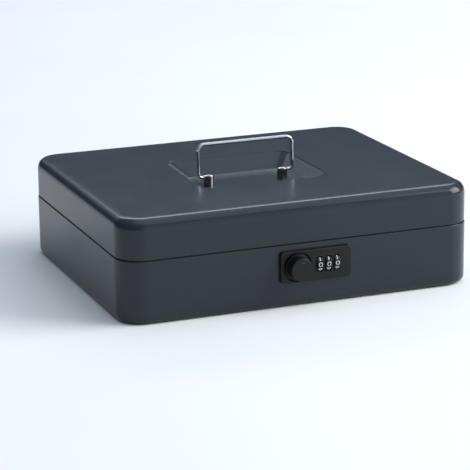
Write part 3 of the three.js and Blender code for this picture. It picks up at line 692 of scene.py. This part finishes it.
def catch():
    """Bent catch behind the knob: flange on the lid wall, shelf, and strap with a ledge."""
    x = LOCK_X + KNOB_X
    front = -(BOX_D / 2 - LID_INSET - SHEET) + SKIN_GAP
    back = -101.6
    thick, bend_r = 1.5, 2.2
    shelf_z, strap_z, ledge_z = 62.0, 41.0, 42.4  # shelf top, strap foot, ledge top
    flange = prism(rounded(20, 15, 2.5, x, 68), front, front + thick, "XZ")
    section = [(front, shelf_z - thick), (back - thick, shelf_z - thick)]
    section += [(back - thick, strap_z), (back, strap_z), (back, shelf_z - bend_r)]
    section += arc(back - bend_r, shelf_z - bend_r, bend_r, sweep(0, 90, 6)[1:])
    section.append((front, shelf_z))
    strap = prism(section, x - 5, x + 5, "YZ")
    shelf = box(x - 7, x + 7, front, back - 4, shelf_z - thick, shelf_z)
    ledge = prism(rounded(6, 6.6, 1.2, x, -104.9), strap_z, ledge_z)
    ledge = union(ledge, box(x - 3, x + 3, -104.5, back, strap_z, ledge_z))
    mesh = union(flange, shelf, strap, ledge)
    emit("lid_catch_strap", mesh, "zinc_steel", "lid", "lid_catch", bevel=0.2, angle=40)


# ---------------------------------------------------------------- lock
def lock_piece(name, mesh, finish, part, body="base", **edges):
    """Emits a mesh drawn about the lock centre."""
    emit(name, move(mesh, LOCK_X, LOCK_Y, LOCK_Z), finish, body, part, **edges)


def bezel():
    """Rounded plate with soft outer edges, from the wall out to the face."""
    width, height, corner, edge = 61.0, 26.0, 2.6, 0.9
    stations = [(0.15, -0.05), (0.0, -0.2)]  # inset, y
    for a in sweep(0, 90, 6):
        stations.append((edge - edge * math.cos(a), -BEZEL_T + edge - edge * math.sin(a)))
    stations.append((edge + 0.5, -BEZEL_T))
    rings = []
    for inset, y in stations:
        points = rounded(width - 2 * inset, height - 2 * inset, corner - inset, n=8)
        rings.append([(x, y, z) for x, z in points])
    return loft(rings)


def lock_housing():
    body = box(-23.2, 24.0, -1.0, 14.2, -9.5, 9.5)
    cuts = [box(-3.0, 22.5, -1.9, 15, -8, 8)]  # dial chamber
    cuts += [prism(rounded(6.0, 13.0, 1.6, x, 0), -5, -1, "XZ") for x in DIAL_X]  # windows
    cuts += [
        cyl_y(3.08, KNOB_X, 0, -6, 16),  # spindle bore
        cyl_x(1.85, DIAL_Y, 0, -5.4, -2),  # axle ends
        cyl_x(1.85, DIAL_Y, 0, 20, 26),
        cyl_y(1.6, CLAMP_SCREWS[0][1], 0, -1.0, 2),
        cyl_y(1.6, CLAMP_SCREWS[1][1], 0, -2.5, 2),
    ]
    cuts += [cyl_y(1.3, COVER_SCREW_X, z, 9, 16) for _, z in COVER_SCREWS]
    # The round well that the knob's skirt sits in: floor 2.0 below the face.
    well = [(0, -2.0), (11.9, -2.0), (12.1, -1.8), (12.2, -0.3), (12.55, 0.02), (12.55, 3), (0, 3)]
    cuts.append(move(turn(revolve(well, 96), TO_FRONT), KNOB_X, -BEZEL_T, 0))
    mesh = boolean(union(bezel(), body), cuts)
    lock_piece("lock_bezel", mesh, "lock_plastic", "lock_housing", bevel=0.16, angle=38)


def clamp_plate():
    cuts = [box(OPENING_X0, OPENING_X1, 0, 4, -OPENING_HALF_H, OPENING_HALF_H)]
    cuts += [cyl_y(1.7, x, 0, 0, 4) for _, x in CLAMP_SCREWS]
    mesh = boolean(prism(rounded(61.6, 25, 2), 1.05, 2.25, "XZ"), cuts)
    lock_piece("clamp_plate", mesh, "zinc_steel", "lock_clamp_plate", bevel=0.15)
    for side, x in CLAMP_SCREWS:
        screw = move(turn(cross_screw(2.9, 2.0, 1.4, 3.1), TO_BACK), x, 2.3, 0)
        name, part = f"clamp_screw_{side}", f"lock_screw_{side}"
        lock_piece(name, screw, "zinc_steel", part, bevel=0.05, segments=1, angle=45)


def back_cover():
    # Spindle hole and the slot for the code lever, then the screw holes.
    cuts = [cyl_y(3.4, KNOB_X, 0, 10, 20), prism(rounded(11.0, 2.6, 1.2, 9.1, 6.1), 10, 20, "XZ")]
    cuts += [cyl_y(1.4, COVER_SCREW_X, z, 10, 20) for _, z in COVER_SCREWS]
    mesh = boolean(prism(rounded(47.2, 19, 1.2, 0.4, 0), 14.25, 15.75, "XZ"), cuts)
    lock_piece("back_cover", mesh, "zinc_steel", "lock_back_cover", bevel=0.15)
    for side, z in COVER_SCREWS:
        screw = move(turn(cross_screw(2.1, 1.3, 1.1, 6), TO_BACK), COVER_SCREW_X, 15.8, z)
        name, part = f"back_cover_screw_{side}", f"cover_screw_{side}"
        lock_piece(name, screw, "zinc_steel", part, bevel=0.04, segments=1, angle=45)


def dial_axle():
    profile = [(0, -5.2), (1.5, -5.2), (1.8, -4.9), (1.8, 23.5), (1.5, 23.8), (0, 23.8)]
    axle = move(turn(revolve(profile, 40), TO_X), 0, DIAL_Y, 0)
    lock_piece("dial_axle_rod", axle, "zinc_steel", "dial_axle")


def sleeve_spring():
    """Coil between the sleeves and the housing."""
    turns, steps, coil_r, wire_r = 2.5, 90, 2.75, 0.3
    start_x, length = -2.5, 2.2
    rings = []
    for k in range(steps + 1):
        a = k / steps * turns * 2 * PI
        out = Vector((0, math.cos(a), math.sin(a)))
        centre = Vector((start_x + k / steps * length, 0, 0)) + out * coil_r
        rings.append([centre + out * u + Vector((v, 0, 0)) for u, v in circle(wire_r, sides=12)])
    coil = move(loft(rings), 0, DIAL_Y, 0)
    lock_piece("sleeve_coil", coil, "spring_steel", "sleeve_spring", angle=40)


def detent_spring():
    """Flat strip with one bent finger behind each dial."""
    # Finger section: y, z.
    section = [
        (13.7, -7.4), (14.05, -7.4), (14.05, -4.3), (12.4, -1.2), (11.1, 1.45), (11.05, 1.7),
        (11.15, 1.95), (11.6, 3.0), (11.25, 3.15), (10.7, 2.1), (10.55, 1.65), (10.65, 1.3),
        (12.0, -1.3), (13.7, -4.4),
    ]
    fingers = [prism(section, x - 1.8, x + 1.8, "YZ") for x in DIAL_X]
    strip = prism(rounded(21.2, 2.5, 0.6, DIAL_MID_X, -6.15), 13.7, 14.05, "XZ")
    mesh, part = union(strip, *fingers), "dial_detent_spring"
    lock_piece("detent_leaf", mesh, "spring_steel", part, bevel=0.06, segments=1, angle=40)


def code_lever():
    slider = prism(rounded(7.0, 3.3, 0.6, 5.9, 5.95), 12.4, 13.9, "XZ")
    tab = prism(rounded(4.0, 2.0, 0.8, 5.9, 6.1), 13.2, 18.4, "XZ")
    name, part = "code_lever_slider", "code_change_lever"
    lock_piece(name, union(slider, tab), "lock_plastic", part, body="code_lever", bevel=0.2)


def knob():
    """Turned knob: foot ring low in its well, slight taper, crowned face, raised index bar."""
    at = (LOCK_X + KNOB_X, LOCK_Y - BEZEL_T + 2.13, LOCK_Z)
    # Radius and height above the foot.
    profile = [(0.0, 9.2), (3.15, 9.2), (3.15, 0.3), (9.9, 0.3), (10.3, 0.6), (10.3, 2.65)]
    profile += arc(10.05, 2.65, 0.25, sweep(0, 90, 5)[1:])
    profile += [(9.78, 2.92), (9.7, 3.1), (9.6, 6.5), (9.5, 9.5), (9.42, 11.3)]
    profile += arc(8.6, 11.35, 0.8, sweep(0, 90, 8)[1:])
    profile += [(7.6, 12.19), (5.0, 12.24), (0.0, 12.27)]
    # The bar is trimmed to lie between these two depths.
    trims = [cyl_y(30, 0, 0, -11.9, 0, 24), cyl_y(30, 0, 0, -14, -12.42, 24)]
    mark = boolean(prism(rounded(3.6, 1.15, 0.5, 0.6, 5.9), -13, -11, "XZ"), trims)
    emit("knob_index_mark", move(mark, *at), "mark_paint", "knob_set", bevel=0.08)
    cap = move(turn(revolve(profile, 144), TO_FRONT), *at)
    emit("knob_cap", cap, "lock_plastic", "knob_set", "knob", bevel=0.1, angle=35)


def spindle_piece(name, mesh, part, **edges):
    """Emits a steel piece drawn about the knob's axis."""
    lock_piece(name, move(mesh, KNOB_X), "zinc_steel", part, body="knob_set", **edges)


def spindle():
    mesh = union(
        cyl_y(3.0, 0, 0, -10.3, 17.6), box(-2, 2, 17, 19.4, -2, 2), cyl_y(1.9, 0, 0, 19, 22.6)
    )
    spindle_piece("spindle", mesh, "knob_spindle", bevel=0.15, angle=40)
    washer = revolve([(3.2, 16.0), (5.5, 16.0), (5.5, 17.5), (3.2, 17.5)], 64, loop=True)
    spindle_piece("spindle_washer", turn(washer, TO_BACK), "thrust_washer", bevel=0.15)


def latch_hook():
    """Flat hook on the spindle's square end, held by a six-sided nut."""
    outer_r, inner_r, hub_r = 14.2, 10.4, 6.0
    points = arc(0, 0, outer_r, sweep(135, 232, 30)) + arc(0, 0, hub_r, sweep(244, 560, 60))
    points += arc(0, 0, inner_r, sweep(212, 135, 24))
    square = box(-2.15, 2.15, 10, 25, -2.15, 2.15)
    hook = boolean(prism(points, 17.8, 19.3, "XZ"), [square])
    spindle_piece("hook_plate", hook, "latch_hook", bevel=0.18, angle=40)

    nut = boolean(cyl_y(4.0, 0, 0, 19.5, 22.0, 6), [cyl_y(1.98, 0, 0, 18, 24)])
    # Trims the nut's corners.
    crown = [(0, 19.4), (3.5, 19.4), (4.1, 19.75), (4.1, 21.75), (3.5, 22.1), (0, 22.1)]
    nut = boolean(nut, [turn(revolve(crown, 48), TO_BACK)], "INTERSECT")
    spindle_piece("hook_fixing_nut", nut, "hook_nut", bevel=0.08, segments=1)


# ---------------------------------------------------------------- dials
FIGURE_H, FIGURE_STRETCH = 3.4, 1.62


def glyph(text):
    """Flat faces of one broad figure, centred, from Blender's own font."""
    curve = bpy.data.curves.new("g", "FONT")
    curve.body, curve.align_x, curve.offset, curve.resolution_u = text, "CENTER", -0.018, 6
    obj = bpy.data.objects.new("g", curve)
    bpy.context.scene.collection.objects.link(obj)
    depsgraph = bpy.context.evaluated_depsgraph_get()
    data = bpy.data.meshes.new_from_object(obj.evaluated_get(depsgraph), depsgraph=depsgraph)
    mesh = bmesh.new()
    mesh.from_mesh(data)
    bpy.data.objects.remove(obj)
    bpy.data.curves.remove(curve)
    bpy.data.meshes.remove(data)
    xs, ys = [v.co.x for v in mesh.verts], [v.co.y for v in mesh.verts]
    cx, cy, height = (min(xs) + max(xs)) / 2, (min(ys) + max(ys)) / 2, max(ys) - min(ys)
    for v in mesh.verts:
        x = (v.co.x - cx) / height * FIGURE_H * FIGURE_STRETCH
        v.co = (x, (v.co.y - cy) / height * FIGURE_H, 0)
    bmesh.ops.remove_doubles(mesh, verts=mesh.verts, dist=1e-4)
    # Level cuts let the figure wrap round the dial.
    for k in range(-4, 5):
        geom = mesh.verts[:] + mesh.edges[:] + mesh.faces[:]
        level = (0, k * FIGURE_H / 10, 0)
        bmesh.ops.bisect_plane(mesh, geom=geom, plane_co=level, plane_no=(0, 1, 0))
    return mesh


def notch(degrees):
    """Depth of the grip notches, which lie halfway between the figures."""
    off = (degrees - 18.0) % 36.0
    off = min(off, 36.0 - off)
    return 0.26 * max(0.0, 1.0 - (off / 3.2) ** 2)


def dial_wheel():
    half, sides = 2.7, 180
    # Radius, distance in from the side face, share of the notch depth.
    edge = [(4.1, 0, 0), (6.6, 0, 0), (7.1, 0.08, 0.4), (7.38, 0.32, 0.8), (DIAL_R, 0.65, 1)]
    stations = [(r, -half + inset, share) for r, inset, share in edge]
    stations += [(r, -x, share) for r, x, share in reversed(stations)]
    rings = []
    for r, x, share in stations:
        points = []
        for i in range(sides):
            a = 2 * PI * i / sides
            radius = r - share * notch(math.degrees(a))
            points.append((x, radius * math.cos(a), radius * math.sin(a)))
        rings.append(points)
    return loft(rings, loop=True)


def dial_figures():
    """Figures 0 to 9 wrapped round the dial: 0 faces the front, 1 is above it."""
    out = bmesh.new()
    for k in range(10):
        figure = glyph(str(k))
        turned = math.radians(36 * k)
        layers = []
        for r in (DIAL_R - 0.25, DIAL_R + 0.05):
            layer = []
            for v in figure.verts:
                a = turned + v.co.y / DIAL_R
                layer.append(out.verts.new((v.co.x, -r * math.cos(a), r * math.sin(a))))
            layers.append(layer)
        low, high = layers
        figure.verts.index_update()
        for face in figure.faces:
            ids = [v.index for v in face.verts]
            out.faces.new([high[i] for i in ids])
            out.faces.new([low[i] for i in reversed(ids)])
        for edge in figure.edges:
            if len(edge.link_faces) == 1:
                a, b = edge.verts[0].index, edge.verts[1].index
                out.faces.new((low[a], low[b], high[b], high[a]))
        figure.free()
    return out


def dial(number, x):
    at = (LOCK_X + x, LOCK_Y + DIAL_Y, LOCK_Z)
    body, name = f"dial_set_{number}", f"dial_{number}"
    emit(f"{name}_wheel", move(dial_wheel(), *at), "dial_plastic", body, name, angle=35)
    emit(f"{name}_figures", move(dial_figures(), *at), "figure_paint", body)
    tube = revolve([(1.88, -2.5), (3.9, -2.5), (3.9, 2.5), (1.88, 2.5)], 64, loop=True)
    # A flat along the back of the tube.
    sleeve = move(boolean(turn(tube, TO_X), [box(-3, 3, 3.3, 5, -3, 3)]), *at)
    name = f"code_sleeve_{number}"
    emit(f"{name}_tube", sleeve, "code_brass", body, name, bevel=0.12, angle=40)


# ---------------------------------------------------------------- coin tray
TRAY_HALF_X, TRAY_Y0, TRAY_Y1, TRAY_WALL = 142.5, -98.0, 118.0, 1.6
CUPS, CUP_BACK_Y, CUP_FLOOR_Z, CUP_R, CUP_END_R = 5, -46.0, 22.0, 17.0, 2.4
BAYS, BAY_MID_Y, BAY_HALF_Y, BAY_FLOOR_Z, BAY_R = 3, 36.0, 80.4, 25.0, 2.6
CUT_TOP_Z = 56.0


def tray_outside():
    mid_y, half_y = (TRAY_Y0 + TRAY_Y1) / 2, (TRAY_Y1 - TRAY_Y0) / 2
    # Growth beyond half x and half y, corner radius, z: the underside, its rounded edge,
    # the wall, then the rim.
    stations = [(-4, -4, 8, 20.0)]
    for a in sweep(0, 90, 6):
        grow = -3.2 + 2.4 * math.sin(a)
        stations.append((grow, grow, 8.8 + 2.2 * math.sin(a), 22.4 - 2.4 * math.cos(a)))
    stations += [
        (0, 0, 12, 47.0), (0.3, 0.15, 12.4, 47.6), (5.4, 1.7, 16.7, 47.6),
        (5.7, 2, 17, 47.9), (5.7, 2, 17, 49.3), (5.4, 1.7, 16.7, 49.6),
    ]
    rings = []
    for grow_x, grow_y, radius, z in stations:
        points = ring(TRAY_HALF_X + grow_x, half_y + grow_y, radius, z, 10)
        rings.append([(x, y + mid_y, z) for x, y, z in points])
    return loft(rings)


def cup_cutter(x, width):
    """Scooped cup; its sections rise at both ends to round the floor into the side walls."""
    front = TRAY_Y0 + TRAY_WALL

    def section(rise, at_x):
        z = CUP_FLOOR_Z + rise + CUP_R
        points = [(CUP_BACK_Y, CUT_TOP_Z), (front, CUT_TOP_Z)]
        points += arc(front + CUP_R, z, CUP_R, sweep(180, 270, 12))
        points += arc(CUP_BACK_Y - CUP_R, z, CUP_R, sweep(270, 360, 12))
        return [(at_x, y, z) for y, z in points]

    end = [(CUP_END_R * (1 - math.sin(a)), CUP_END_R * (1 - math.cos(a))) for a in sweep(0, 90, 5)]
    rows = [section(rise, x + inset) for rise, inset in end]
    rows += [section(rise, x + width - inset) for rise, inset in reversed(end)]
    return loft(rows)


def bay_cutter(x, width):
    """Straight-sided bay with a rounded floor edge."""
    stations = []  # inset, z
    for a in sweep(0, 90, 6):
        stations.append((BAY_R * (1 - math.sin(a)), BAY_FLOOR_Z + BAY_R * (1 - math.cos(a))))
    stations.append((0, CUT_TOP_Z))
    rows = []
    for inset, z in stations:
        points = ring(width / 2 - inset, BAY_HALF_Y - inset, 5 - inset * 0.6, z, 8)
        rows.append([(px + x + width / 2, py + BAY_MID_Y, pz) for px, py, pz in points])
    return loft(rows)


def tray():
    tools = []
    inner = 2 * (TRAY_HALF_X - TRAY_WALL)
    for count, cutter in ((CUPS, cup_cutter), (BAYS, bay_cutter)):
        width = (inner - (count - 1) * TRAY_WALL) / count
        for i in range(count):
            tools.append(cutter(-TRAY_HALF_X + TRAY_WALL + i * (width + TRAY_WALL), width))
    # Round notches in the rim at both sides.
    wall_x = TRAY_HALF_X - TRAY_WALL - 1
    tools += [cyl_x(13, 36, 52, -160, -wall_x), cyl_x(13, 36, 52, wall_x, 160)]
    # The bays stand higher than the cups, so the underside steps up behind the cups.
    tools.append(prism(rounded(310, 170, 1, 0, 41), 16.0, 23.2))
    mesh = boolean(tray_outside(), tools)
    name = "coin_tray_moulding"
    emit(name, mesh, "tray_plastic", "tray", "coin_tray", bevel=0.35, segments=3, angle=38)


# ---------------------------------------------------------------- build
lid_shell()
base_shell()
ledges()
for sign, side_name in SIDES:
    hinge(sign * HINGE_X, side_name)
handle()
posts()
catch()
lock_housing()
clamp_plate()
back_cover()
dial_axle()
for index, dial_x in enumerate(DIAL_X):
    dial(index + 1, dial_x)
sleeve_spring()
detent_spring()
code_lever()
knob()
spindle()
latch_hook()
tray()


# ---------------------------------------------------------------- floor, light, camera (metres)
def floor():
    mesh = bmesh.new()
    bmesh.ops.create_grid(mesh, x_segments=2, y_segments=2, size=12.0)
    obj = new_object("floor", mesh)
    s = Shader("floor_paper")
    obj.data.materials.append(s.mat)
    tone = s.mix(s.noise(scale=3.0), (0.90, 0.90, 0.90), (0.88, 0.88, 0.885))
    s.finish(color=tone, rough=0.85, spec=0.1)
    obj.location.z = -0.0002  # just clear of the box's underside


def area(name, size, power, location, colour=(1, 1, 1)):
    """Rectangular light of size (x, y), aimed at a point low in the box."""
    light = bpy.data.lights.new(name, "AREA")
    light.shape, light.energy, light.color = "RECTANGLE", power, colour
    light.size, light.size_y = size
    obj = bpy.data.objects.new(name, light)
    bpy.context.scene.collection.objects.link(obj)
    obj.location = location
    obj.rotation_mode = "QUATERNION"
    aim = Vector((0, 0, 0.05)) - Vector(location)
    obj.rotation_quaternion = aim.to_track_quat("-Z", "Y")


def lights():
    cool, cooler = (0.93, 1.0, 1.09), (0.86, 0.95, 1.06)
    area("key", size=(2.0, 1.9), power=90.0, location=(2.30, -1.05, 1.50))
    area("front_fill", size=(3.6, 1.4), power=11.0, location=(1.05, -2.75, 0.72))
    area("overhead", size=(3.2, 2.4), power=20.0, location=(0.5, -0.3, 2.3), colour=cool)
    area("back_soft", size=(1.8, 0.6), power=10.5, location=(0.61, 2.04, 1.44), colour=cooler)
    area("back_left", size=(1.0, 0.6), power=1.1, location=(-0.57, 2.28, 1.18), colour=cooler)


def studio_world():
    """Cool surround that brightens upwards."""
    world = bpy.data.worlds.new("studio")
    bpy.context.scene.world = world
    world.use_nodes = True
    nodes, links = world.node_tree.nodes, world.node_tree.links
    background = nodes["Background"]
    coord = nodes.new("ShaderNodeTexCoord")
    split = nodes.new("ShaderNodeSeparateXYZ")
    ramp = nodes.new("ShaderNodeValToRGB")
    stops = (  # height, colour
        (0.0, (0.10, 0.11, 0.13)),
        (0.20, (0.105, 0.122, 0.150)),
        (0.30, (0.125, 0.150, 0.192)),
        (0.80, (0.34, 0.39, 0.45)),
        (1.0, (0.42, 0.46, 0.52)),
    )
    elements = ramp.color_ramp.elements
    while len(elements) < len(stops):
        elements.new(0.5)
    for element, (height, colour) in zip(elements, stops):
        element.position, element.color = height, (*colour, 1)
    links.new(coord.outputs["Generated"], split.inputs[0])
    links.new(split.outputs["Z"], ramp.inputs["Fac"])
    links.new(ramp.outputs["Color"], background.inputs["Color"])
    background.inputs["Strength"].default_value = 1.0


def camera():
    data = bpy.data.cameras.new("camera")
    data.sensor_width, data.lens = 36.0, 161.0955
    data.clip_start, data.clip_end = 0.01, 100.0
    obj = bpy.data.objects.new("camera", data)
    bpy.context.scene.collection.objects.link(obj)
    # The camera's own axes in the scene; it looks against back.
    right = (0.9307087984185685, -0.3656054529519746, -0.01066702011087975)
    up = (0.10834598151332908, 0.24772290851440787, 0.9627536075689747)
    back = (-0.3493455035293538, -0.8971989820373982, 0.2701697721709045)
    location = (-0.6366382695, -1.6087965557, 0.5121785074)
    axes = Matrix((right, up, back)).transposed().to_4x4()
    obj.matrix_world = Matrix.Translation(location) @ axes
    bpy.context.scene.camera = obj


floor()
lights()
studio_world()
camera()
bpy.context.scene.view_settings.view_transform = "Standard"
bpy.context.scene.view_settings.look = "None"
